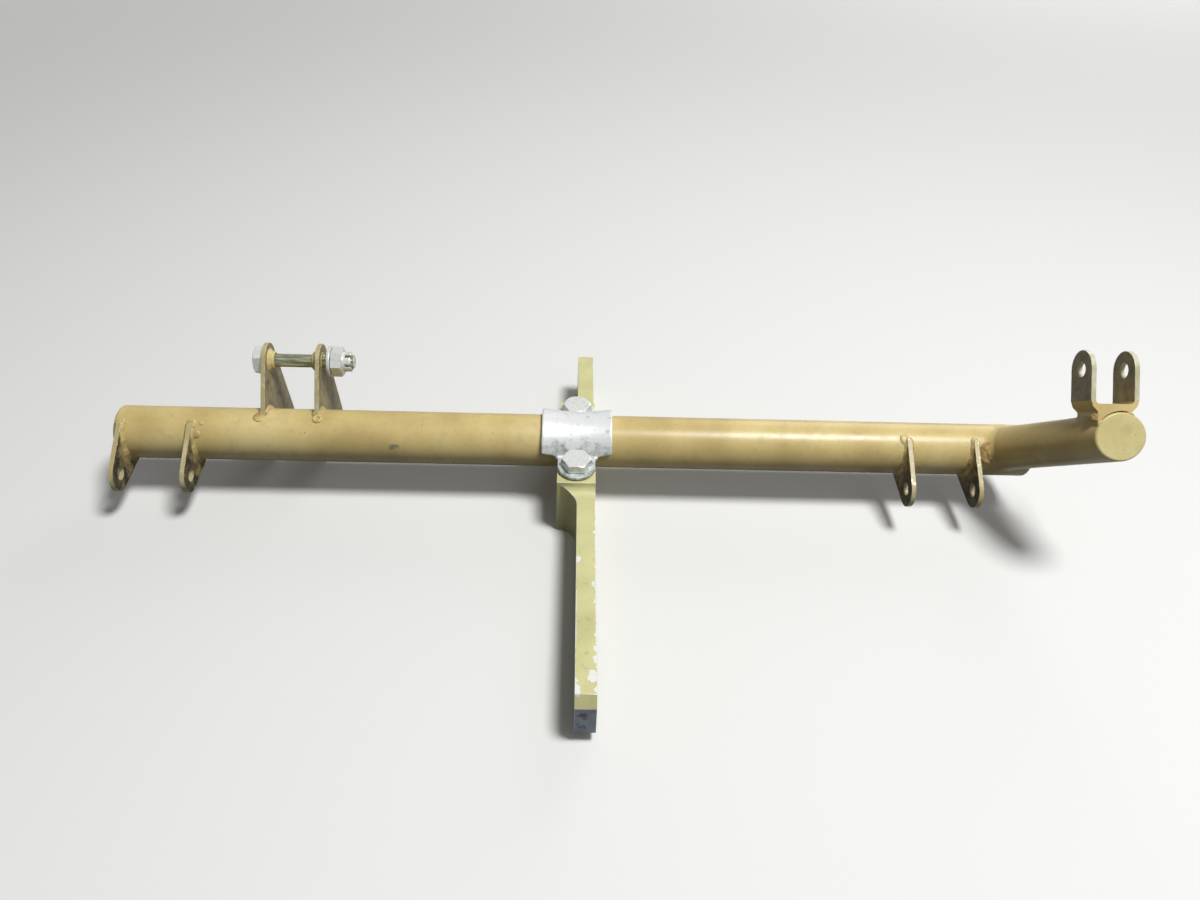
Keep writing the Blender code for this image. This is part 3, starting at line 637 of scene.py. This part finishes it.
def makeSideTube():
    along = sideDirection()
    bm = roundBar(sideTube, sideTube["blank"])
    turn = along.to_track_quat("Z", "Y").to_matrix().to_4x4()
    place = Matrix.Translation(sideRoot + along * sideTube["blank"] / 2) @ turn
    bmesh.ops.transform(bm, matrix=place, verts=bm.verts)
    geometry = bm.verts[:] + bm.edges[:] + bm.faces[:]
    cut = bmesh.ops.bisect_plane(
        bm, geom=geometry, plane_co=(0, -sideTube["reach"], 0), plane_no=(0, -1, 0), clear_outer=True,
    )
    rim = [e for e in cut["geom_cut"] if isinstance(e, bmesh.types.BMEdge)]
    bmesh.ops.holes_fill(bm, edges=rim, sides=0)
    easeEdges(bm, sideTube["endRound"], sideTube["endSegments"], sideTube["endFrom"])
    bmesh.ops.transform(bm, matrix=toWorld, verts=bm.verts)
    piece = fromMesh(bm, "sideArmTube", "shaft", ["enamel", "paintedLitDisc"])
    # faces that look to the front take the paler enamel: painted light on the end disc
    front = toWorld.to_3x3() @ Vector((0, -1, 0))
    for face in piece.data.polygons:
        face.material_index = 1 if face.normal.dot(front) > sideTube["paintedLightFacing"] else 0
    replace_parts(piece, "side_arm_tube", "side_arm_disc")


makeMainTube()
makeSideTube()
print("tubes made")


# Sheet fittings: flat faces soiled, and on the lugs also darker as painted shade; sawn edges thin and grey;
# corners rubbed pale and partly painted as highlights
lugs = {
    "left_outer_lug": "leftOuterLug",
    "left_inner_lug": "leftInnerLug",
    "right_inner_lug": "rightInnerLug",
    "right_outer_lug": "rightOuterLug",
}
cranks = {"left_crank_plate": "leftCrankPlate", "right_crank_plate": "rightCrankPlate"}
sheet = {"cornerRound": 0.3 * mm, "flatFacing": 0.95, "clevisPaint": 16.0 * mm}


def makeSheet(node, name, flat, edge="thinEdge", paintedBelow=None):
    bm = mergedCopy(node)
    # faces square to the shaft take the flat finish, which on the lugs carries painted shade
    for face in bm.faces:
        face.material_index = 1 if abs(face.normal.x) > sheet["flatFacing"] else 0
    # rounded corners take the pale corner finish: rubbed steel and a painted highlight
    for face in easeEdges(bm, sheet["cornerRound"]):
        face.material_index = 2
    if paintedBelow:
        level, up = toWorld @ Vector((0, 0, paintedBelow)), toWorld.to_3x3() @ Vector((0, 0, 1))
        geometry = bm.verts[:] + bm.edges[:] + bm.faces[:]
        bmesh.ops.bisect_plane(bm, geom=geometry, plane_co=level, plane_no=up, dist=sameSpot)
        for face in bm.faces:
            if (face.calc_center_median() - level).dot(up) < 0:
                face.material_index = 3
    piece = fromMesh(bm, name, bodyOf[node], [edge, flat, "rubbed", "enamel"])
    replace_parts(piece, node)


# the lugs' flat faces: oily dirt round the holes, and painted shade
for node, name in lugs.items():
    makeSheet(node, name, "grimedAndShaded")
for node, name in cranks.items():
    makeSheet(node, name, "handled")
# the clevis's bent web kept its paint
makeSheet("end_clevis", "endClevis", "handled", "wornEdge", sheet["clevisPaint"])
for node, name in (("left_crank_bush", "leftCrankBush"), ("right_crank_bush", "rightCrankBush")):
    bm = mergedCopy(node)
    easeEdges(bm, sheet["cornerRound"])
    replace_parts(fromMesh(bm, name, bodyOf[node], ["enamel"]), node)
print("sheet fittings made")


# Welds: low lumpy fillets in the corner between a fitting and its tube
weld = {
    "leg": 1.15 * mm,
    "fullness": 0.5,        # 0 is hollow, 1 nearly square
    "sides": 6,
    "step": 0.4 * mm, "fewest": 8,
    "lump": 3.2 * mm, "lumpShare": 0.35,
    "ripple": 1.9 * mm, "rippleShare": 0.14,
    "bite": 0.06 * mm,      # the fillet's edges sink this far into the metal
    "sunk": 0.35 * mm,
    "taper": 4,             # rings over which an open end runs out
    "smoothBelow": 70,
    "lugSpan": (-138, 22), "crankSpan": (43, 209),   # degrees up from the shaft's own front
}


def weldPiece(bm, name, finish):
    fromMesh(bm, name, "shaft", [finish], weld["smoothBelow"], weighted=False)


def weldFillet(name, corners, closed=False, keep=None, finish="weld", **changes):
    # each corner is a spot and the two directions that lie in the two skins, in the shaft's own axes
    own = {**weld, **changes}
    bm = bmesh.new()
    rings = []
    run = 0.0
    last = len(corners) - 1
    for index, (spot, first, second) in enumerate(corners):
        run += (spot - corners[index - 1][0]).length if index else 0.0
        size = 1 + own["lumpShare"] * noise.noise(spot / own["lump"])
        size += own["lumpShare"] * own["rippleShare"] * sin(2 * pi * run / own["ripple"])
        fromEnd = 1.0 if closed else min(1.0, (min(index, last - index) + 0.5) / own["taper"])
        size *= own["leg"] * fromEnd ** 0.5
        ring = [bm.verts.new(spot - (first + second) * own["sunk"])]
        for step in range(own["sides"] + 1):
            share = step / own["sides"]
            middle = 2 * share * (1 - share) * own["fullness"]
            point = spot + (first * ((1 - share) ** 2 + middle) + second * (share ** 2 + middle)) * size
            point -= (second * (1 - share) + first * share) * own["bite"]
            ring.append(bm.verts.new(keep(point) if keep else point))
        rings.append([bm.edges.new(pair) for pair in zip(ring, ring[1:] + ring[:1])])
    bridgeRings(bm, rings, closed)
    bmesh.ops.transform(bm, matrix=toWorld, verts=bm.verts)
    weldPiece(bm, name, finish)


def ringCorners(centre, way, radius, start, end):
    # round a tube or bush that runs along X: away along it, and out from it
    count = max(weld["fewest"], int(radians(abs(end - start)) * radius / weld["step"]))
    corners = []
    for i in range(count + (abs(end - start) < 360)):
        turn = radians(start + (end - start) * i / count)
        out = Vector((0, -cos(turn), sin(turn)))
        corners.append((centre + out * radius, Vector((way, 0, 0)), out))
    return corners


for fittings, span in ((lugs, "lugSpan"), (cranks, "crankSpan")):
    for node, name in fittings.items():
        low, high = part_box(node)
        for side, x, way in (("Left", low[0], -1), ("Right", high[0], 1)):
            corners = ringCorners(Vector((x, 0, 0)), way, mainTube["radius"], *weld[span])
            weldFillet(f"{name}Weld{side}", corners)

bush = {"angle": 87, "reach": 27.05 * mm, "radius": 3.35 * mm, "fillet": 1.1 * mm}
for node, name, way in (
    ("left_crank_plate", "leftCrankBush", 1),
    ("right_crank_plate", "rightCrankBush", -1),
):
    turn = radians(bush["angle"])
    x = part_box(node)[way > 0][0]
    centre = Vector((x, -bush["reach"] * cos(turn), bush["reach"] * sin(turn)))
    corners = ringCorners(centre, way, bush["radius"], 0, 360)
    weldFillet(f"{name}Fillet", corners, closed=True, finish="enamel", leg=bush["fillet"])


def onMainTube(point):
    # keeps a fillet's edge just in the main tube's skin, where it would sink deeper
    radius = (point.y ** 2 + point.z ** 2) ** 0.5
    if radius > mainTube["radius"]:
        return point
    toSkin = (mainTube["radius"] - weld["bite"]) / radius
    return Vector((point.x, point.y * toSkin, point.z * toSkin))


sideArmSteps = 120
sideArmWeld = {"leg": 2.6 * mm, "lumpShare": 0.06, "fullness": 0.12}   # dressed smooth before painting


def sideArmCorners():
    # where the side tube's skin meets the main tube's
    along = sideDirection()
    across = Vector((0, 0, 1)).cross(along).normalized()
    over = along.cross(across)
    corners = []
    for i in range(sideArmSteps):
        turn = 2 * pi * i / sideArmSteps
        normal = across * cos(turn) + over * sin(turn)
        offset = normal * sideTube["radius"]
        a = along.y ** 2 + along.z ** 2
        b = offset.y * along.y + offset.z * along.z
        c = offset.y ** 2 + offset.z ** 2 - mainTube["radius"] ** 2
        spot = sideRoot + offset + along * ((-b + max(b * b - a * c, 0.0) ** 0.5) / a)
        mainNormal = Vector((0, spot.y, spot.z)).normalized()
        outward = (normal - mainNormal * normal.dot(mainNormal)).normalized()
        corners.append((spot, outward, along))
    return corners


weldFillet("sideArmWeld", sideArmCorners(), closed=True, keep=onMainTube, finish="enamel", **sideArmWeld)

clevisFoot = {
    "halfWidth": 5.5 * mm, "halfDepth": 6.25 * mm, "front": 47.2 * mm,
    "start": 128, "end": 412,   # degrees, from the left front corner by the rear to the right one
    "steps": 90,
    "squareness": 0.8,          # 0 is oval, 1 square
    "flush": 0.05 * mm,
}
clevisWeld = {"leg": 1.5 * mm, "lumpShare": 0.2}


def inSideArm(point):
    # a weld ground flush with the disc that closes the side tube
    return Vector((point.x, max(point.y, clevisFoot["flush"] - sideTube["reach"]), point.z))


def clevisCorners():
    # round the clevis's foot, on the side tube's skin
    along = sideDirection()
    flatAlong = Vector((along.x, along.y, 0)).normalized()
    centreX = sideTube["rootX"] + clevisFoot["front"] * tan(radians(sideTube["splay"]))
    span = clevisFoot["end"] - clevisFoot["start"]
    corners = []
    for i in range(clevisFoot["steps"] + 1):
        turn = radians(clevisFoot["start"] + span * i / clevisFoot["steps"])
        square = max(abs(cos(turn)), abs(sin(turn))) ** clevisFoot["squareness"]
        outward = Vector((cos(turn), -sin(turn), 0))
        x = centreX + clevisFoot["halfWidth"] * cos(turn) / square
        front = clevisFoot["front"] + clevisFoot["halfDepth"] * sin(turn) / square
        flat = Vector((x, -front, 0)) - sideRoot
        sideways = flat - flatAlong * flat.dot(flatAlong)
        height = max(sideTube["radius"] ** 2 - sideways.length_squared, 0.0) ** 0.5
        rise = flat.dot(flatAlong) * tan(radians(sideTube["rise"]))
        skin = (sideways + Vector((0, 0, height))).normalized()
        outward = (outward - skin * outward.dot(skin)).normalized()
        corners.append((Vector((x, -front, rise + height)), outward, Vector((0, 0, 1))))
    return corners


weldFillet("clevisFootWeld", clevisCorners(), keep=inSideArm, **clevisWeld)

# Lumps and drips of weld: offset from a fitting's middle, angle round the tube, width, height, finish
weldDrops = {
    "leftCrankDrop": ("left_crank_plate", -1.0 * mm, 40.5, 4.4 * mm, 0.45 * mm, "weld"),
    "leftInnerLugDrop": ("left_inner_lug", 0.6 * mm, 19.0, 3.6 * mm, 0.9 * mm, "weld"),
    "leftInnerLugSpatter": ("left_inner_lug", 3.9 * mm, 21.0, 1.5 * mm, 0.35 * mm, "weld"),
    "leftInnerLugBead": ("left_inner_lug", 2.2 * mm, -3.0, 3.0 * mm, 0.5 * mm, "weld"),
    "leftOuterLugDrop": ("left_outer_lug", 0.5 * mm, 19.0, 3.4 * mm, 0.9 * mm, "weld"),
    "rightInnerLugDrop": ("right_inner_lug", -1.5 * mm, 19.0, 3.6 * mm, 0.45 * mm, "weld"),
    "rightOuterLugDrop": ("right_outer_lug", -0.2 * mm, 18.0, 2.8 * mm, 0.8 * mm, "weld"),
    "sideArmPatch": ("right_outer_lug", 5.4 * mm, -8.0, 8.0 * mm, 0.45 * mm, "scorched"),
    "sideArmDrop": ("right_outer_lug", 6.0 * mm, -12.0, 4.6 * mm, 1.1 * mm, "scorched"),
    "sideArmBead": ("right_outer_lug", 4.6 * mm, 3.0, 3.6 * mm, 0.7 * mm, "scorched"),
}
drop = {"segments": 28, "rings": 18, "lumpShare": 0.22, "lumpsPerRadius": 1.4}


def onTube(x, angle):
    turn = radians(angle)
    out = Vector((0, -cos(turn), sin(turn)))
    turned = out.to_track_quat("Z", "X").to_matrix().to_4x4()
    return toWorld @ Matrix.Translation(Vector((x, 0, 0)) + out * mainTube["radius"]) @ turned


def middleOf(node):
    low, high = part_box(node)
    return (low[0] + high[0]) / 2


def makeDrop(name, place, width, height, seed, finish):
    bm = bmesh.new()
    bmesh.ops.create_uvsphere(bm, u_segments=drop["segments"], v_segments=drop["rings"], radius=1.0)
    for vert in bm.verts:
        vert.co *= 1 + drop["lumpShare"] * noise.noise(vert.co * drop["lumpsPerRadius"] + seed)
    bmesh.ops.scale(bm, vec=(width / 2, width / 2, height), verts=bm.verts)
    bmesh.ops.transform(bm, matrix=place, verts=bm.verts)
    weldPiece(bm, name, finish)


for name, (node, offset, angle, width, height, finish) in weldDrops.items():
    seed = Vector((offset, angle, width)) / mm
    makeDrop(name, onTube(middleOf(node) + offset, angle), width, height, seed, finish)

# the end of the clevis's weld, at the left front corner of its foot
footDrop = {"place": Vector((165.6 * mm, -52.2 * mm, 10.6 * mm)), "width": 3.2 * mm, "height": 1.3 * mm}
footPlace, footSeed = toWorld @ Matrix.Translation(footDrop["place"]), footDrop["place"] / mm
makeDrop("clevisFootDrop", footPlace, footDrop["width"], footDrop["height"], footSeed, "scorched")

crater = {
    "offset": 0.6 * mm, "angle": 37.5, "radius": 1.25 * mm, "rim": 0.62 * mm,
    "rimSides": 14, "steps": 36,
}


def makeCrater():
    # a weld drop that blew a small pit in its middle
    bm = bmesh.new()
    bmesh.ops.create_circle(bm, segments=crater["rimSides"], radius=crater["rim"])
    bmesh.ops.rotate(bm, matrix=Matrix.Rotation(pi / 2, 3, "X"), verts=bm.verts)
    bmesh.ops.translate(bm, vec=(crater["radius"], 0, 0), verts=bm.verts)
    spinRound(bm, bm.verts[:] + bm.edges[:], crater["steps"])
    place = onTube(middleOf("right_crank_plate") + crater["offset"], crater["angle"])
    bmesh.ops.transform(bm, matrix=place, verts=bm.verts)
    weldPiece(bm, "rightCrankCrater", "weld")


makeCrater()
print("welds made")


# Bearing: support arm, cap and cap bolts
def makeSupportArm():
    bm = mergedCopy("support_arm")
    for face in bm.faces:
        atTip = face.calc_center_median().y < arm["tip"] + arm["tipDepth"]
        face.material_index = 2 if atTip and face.normal.y < -arm["tipFacing"] else 0
    for face in easeEdges(bm, arm["cornerRound"], sharperThan=arm["cornerFrom"]):
        face.material_index = 1
    piece = fromMesh(bm, "supportArm", "bracket", ["olive", "bareArris", "stained"])
    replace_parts(piece, "support_arm")


cap = {
    "voxel": 0.24 * mm, "soften": 16, "softenShare": 0.5, "smoothBelow": 80,
    "earX": 6.8 * mm, "earY": 11.2 * mm, "blendRise": 0.9 * mm, "blend": 0.95 * mm,  # ears to skirt
}


def makeCap():
    bm = mergedCopy("bearing_cap")
    bmesh.ops.triangulate(bm, faces=bm.faces)
    for x in (-cap["earX"], cap["earX"]):
        for y in (-cap["earY"], cap["earY"]):
            place = Matrix.Translation(hinge + Vector((x, y, cap["blendRise"])))
            bmesh.ops.create_icosphere(bm, subdivisions=2, radius=cap["blend"], matrix=place)
    cast = asObject(bm, "bearingCapRough")
    skin = cast.modifiers.new("even skin", "REMESH")
    skin.mode = "VOXEL"
    skin.voxel_size = cap["voxel"]
    soften = cast.modifiers.new("cast softness", "SMOOTH")
    soften.factor = cap["softenShare"]
    soften.iterations = cap["soften"]
    bm = applied(cast)
    piece = fromMesh(
        bm, "bearingCapCasting", "bracket", ["silver"], cap["smoothBelow"], weighted=False,
    )
    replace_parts(piece, "bearing_cap")


# Hexagon heads: the prism's corners are turned off by a shallow cone, as on a forged head
hexHead = {
    "faceRadius": 4.55 * mm, "slope": 60, "depth": 40 * mm, "cornerRound": 0.14 * mm,
    "clear": 0.02 * mm,     # the turned tool stands this far off what it leaves whole
}
nut = {
    "crownRadius": 3.6 * mm, "crown": 3.0 * mm, "crownRound": 0.7 * mm,
    "roundMiddle": 0.3,     # how far in the round's middle corner lies, as a share of the round
    "above": 2 * mm,        # how far the turned tool reaches over the crown
}
turnedSteps = 72


def turnedTool(profile, place):
    # a solid turned from (radius, height) points, its axis along Z before it is placed
    bm = bmesh.new()
    corners = [bm.verts.new((radius, 0, height)) for radius, height in profile]
    edges = [bm.edges.new(pair) for pair in zip(corners, corners[1:])]
    spinRound(bm, corners + edges, turnedSteps)
    bmesh.ops.transform(bm, matrix=place, verts=bm.verts)
    return asObject(bm, "turnedTool")


def makeHexPiece(node, name, face, axis, kinds, crown=0.0):
    # face is the middle of the hexagon's outer face, and axis points out of it
    cone = hexHead["faceRadius"] + hexHead["depth"] * tan(radians(hexHead["slope"]))
    profile = [(0, -hexHead["depth"]), (cone, -hexHead["depth"]), (hexHead["faceRadius"], 0)]
    if crown:
        radius, rounded = nut["crownRadius"] + hexHead["clear"], nut["crownRound"]
        inward = rounded * nut["roundMiddle"]
        profile += [(radius, 0), (radius, crown - rounded), (radius - inward, crown - inward)]
        profile += [(radius - rounded, crown), (0, crown + nut["above"])]
    else:
        profile += [(0, hexHead["clear"])]
    place = Matrix.Translation(face) @ axis.to_track_quat("Z", "Y").to_matrix().to_4x4()
    tool = turnedTool(profile, place)
    blank = asObject(mergedCopy(node), name + "Blank")
    trim = blank.modifiers.new("turned corners", "BOOLEAN")
    trim.operation = "INTERSECT"
    trim.solver = "EXACT"
    trim.object = tool
    bm = applied(blank, tool)
    bmesh.ops.remove_doubles(bm, verts=bm.verts, dist=sameCorner)
    easeEdges(bm, hexHead["cornerRound"])
    piece = fromMesh(bm, name, bodyOf[node], kinds)
    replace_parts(piece, node)
    return piece


makeSupportArm()
makeCap()
for node, name in (("front_cap_bolt", "frontCapBolt"), ("rear_cap_bolt", "rearCapBolt")):
    low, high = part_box(node)
    top = Vector(((low[0] + high[0]) / 2, (low[1] + high[1]) / 2, high[2]))
    makeHexPiece(node, name, top, Vector((0, 0, 1)), ["plated"])
print("bearing made")


# Clevis bolt with its washer and slotted nut
headFace = Vector((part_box("clevis_bolt")[0][0], boltAxis.y, boltAxis.z))
clevisBolt = makeHexPiece("clevis_bolt", "clevisBolt", headFace, Vector((-1, 0, 0)), ["plated", "dulled"])
shankSpan = (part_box("left_crank_plate")[0][0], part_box("right_crank_plate")[1][0])
for face in clevisBolt.data.polygons:
    face.material_index = 1 if shankSpan[0] < face.center.x < shankSpan[1] else 0

hexTop = Vector((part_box("slotted_nut")[1][0] - nut["crown"], boltAxis.y, boltAxis.z))
makeHexPiece("slotted_nut", "slottedNut", hexTop, Vector((1, 0, 0)), ["plated"], nut["crown"])

washer = {"cornerRound": 0.3 * mm}
bm = mergedCopy("clevis_washer")
easeEdges(bm, washer["cornerRound"])
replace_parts(fromMesh(bm, "clevisWasher", "bolt", ["plated"]), "clevis_washer")

thread = {"pitch": 0.8 * mm, "crest": 2.52 * mm, "root": 2.3 * mm, "gap": 0.05 * mm, "smoothBelow": 20}


def makeThread():
    # the turns that show between the right plate and the washer, drawn as rings
    start, end = shankSpan[1] + thread["gap"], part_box("clevis_washer")[0][0] - thread["gap"]
    turns = int((end - start) / thread["pitch"])
    profile = [(0, 0)]
    for i in range(turns):
        middle = thread["pitch"] * (i + 0.5)
        profile += [(thread["root"], middle - thread["pitch"] / 2), (thread["crest"], middle)]
    profile += [(thread["root"], thread["pitch"] * turns), (0, thread["pitch"] * turns)]
    place = Matrix.Translation((start, boltAxis.y, boltAxis.z)) @ Matrix.Rotation(pi / 2, 4, "Y")
    bm = applied(turnedTool(profile, place))
    fromMesh(
        bm, "boltThread", "bolt", ["dulled"], thread["smoothBelow"], weighted=False,
    )


makeThread()
print("bolt made")


# Floor and light
studio = {
    "floor": "#E9E9E7", "floorBounce": "#45474F", "floorSize": 12.0, "floorDrop": 0.2 * mm,
    "glowFrom": 0.4, "glowFull": 1.8,   # metres out from the object
    "glow": 0.62,                       # stands in for lamps out there
    "world": 0.14, "worldSeen": 0.72, "shine": 0.5,
    "keyPlace": (0.34, -0.18, 1.05), "keySize": 0.3, "key": 11.0,
    "fillPlace": (0.6, -0.9, 1.2), "fillSize": 0.8, "fill": 1.0,
    "backPlace": (0.6, 1.2, 0.6), "backSize": 0.8, "back": 3.5,
}


def seenShare(tree):
    # 1 where the camera looks, less in reflections, 0 for the light that falls on the object
    path = addNode(tree, "ShaderNodeLightPath")
    clear = {0: path.outputs["Is Glossy Ray"], 1: path.outputs["Is Transmission Ray"]}
    clear = addNode(tree, "ShaderNodeMath", clear, operation="MAXIMUM")
    shine = addNode(tree, "ShaderNodeMath", {0: clear, 1: studio["shine"]}, operation="MULTIPLY")
    seen = {0: path.outputs["Is Camera Ray"], 1: shine}
    return addNode(tree, "ShaderNodeMath", seen, operation="MAXIMUM")


def makeFloor():
    # painted studio floor: pale to the camera and in the metal, darker to the light that it throws back
    bm = bmesh.new()
    bmesh.ops.create_grid(bm, x_segments=1, y_segments=1, size=studio["floorSize"] / 2)
    bmesh.ops.translate(bm, vec=(0, 0, -studio["floorDrop"]), verts=bm.verts)
    floor = asObject(bm, "floor")
    material, tree, shader, place = newMaterial("paleFloor", {"Roughness": 0.9})
    colours = {0: seenShare(tree), 6: studio["floorBounce"], 7: studio["floor"]}
    tone = addNode(tree, "ShaderNodeMix", colours, data_type="RGBA")
    tree.links.new(tone.outputs[2], shader.inputs["Base Color"])
    away = addNode(tree, "ShaderNodeVectorMath", {0: place}, operation="LENGTH").outputs["Value"]
    glow = {"Value": away, "From Min": studio["glowFrom"], "From Max": studio["glowFull"]}
    glow["To Max"] = studio["glow"]
    glow = addNode(tree, "ShaderNodeMapRange", glow, interpolation_type="SMOOTHSTEP")
    glow = addNode(tree, "ShaderNodeMath", {0: glow, 1: seenShare(tree)}, operation="MULTIPLY")
    shader.inputs["Emission Color"].default_value = toLinear(studio["floor"])
    tree.links.new(glow.outputs[0], shader.inputs["Emission Strength"])
    floor.data.materials.append(material)


def makeLamp(kind):
    data = bpy.data.lights.new(kind + "Lamp", "AREA")
    data.shape = "DISK"
    data.size = studio[kind + "Size"]
    data.energy = studio[kind]
    lamp = bpy.data.objects.new(kind + "Lamp", data)
    lamp.location = studio[kind + "Place"]
    lamp.rotation_euler = (hinge - lamp.location).to_track_quat("-Z", "Y").to_euler()
    scene.collection.objects.link(lamp)


def makeWorld():
    world = bpy.data.worlds.new("studio")
    world.use_nodes = True
    tree = world.node_tree
    strength = {"Value": seenShare(tree), "To Min": studio["world"], "To Max": studio["worldSeen"]}
    strength = addNode(tree, "ShaderNodeMapRange", strength)
    background = tree.nodes["Background"]
    background.inputs["Color"].default_value = (1, 1, 1, 1)
    tree.links.new(strength.outputs[0], background.inputs["Strength"])
    scene.world = world


makeFloor()
for kind in ("key", "fill", "back"):
    makeLamp(kind)
makeWorld()
scene.view_settings.view_transform = "Standard"
print("studio made")
